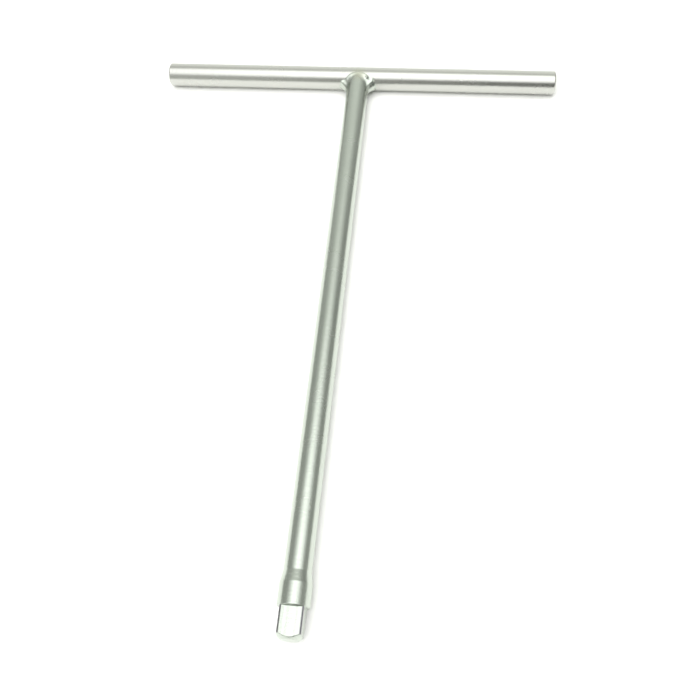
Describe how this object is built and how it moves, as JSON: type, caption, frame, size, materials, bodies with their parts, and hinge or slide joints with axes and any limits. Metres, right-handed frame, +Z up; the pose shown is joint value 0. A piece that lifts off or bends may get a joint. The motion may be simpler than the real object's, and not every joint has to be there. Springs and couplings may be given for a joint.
{
  "type": "t-handle socket driver",
  "caption": "Fixed T-handle: a round cross handle welded to a long round shank that ends in a collar and a male square drive with a sprung ball.",
  "frame": {"origin": "under the middle of the tool as it lies flat, level with the underside of the collar", "axes": "+X along the cross handle, +Y along the shank from the square towards the cross handle, +Z up out of the surface it lies on"},
  "size_m": [0.2, 0.285, 0.0128],
  "materials": {
    "handle_chrome": "satin chrome plate on drawn steel bar",
    "shank_chrome": "satin chrome plate on turned steel",
    "plated_weld": "chrome plate over a rippled fillet weld",
    "bearing_steel": "polished",
    "spring_steel": "drawn spring wire"
  },
  "bodies": {
    "tool": {"cross_handle": "handle_chrome", "shank": "shank_chrome", "weld_bead": "plated_weld", "detent_spring": "spring_steel"},
    "ball": {"detent_ball": "bearing_steel"}
  },
  "joints": [
    {"name": "detent_press", "type": "slide", "parent": "tool", "child": "ball", "axis": [0, 0, 1], "range_m": [0, 0.00075], "stiffness_N_per_m": 1400, "springref_m": -0.0015, "deforming": ["detent_spring"]}
  ]
}
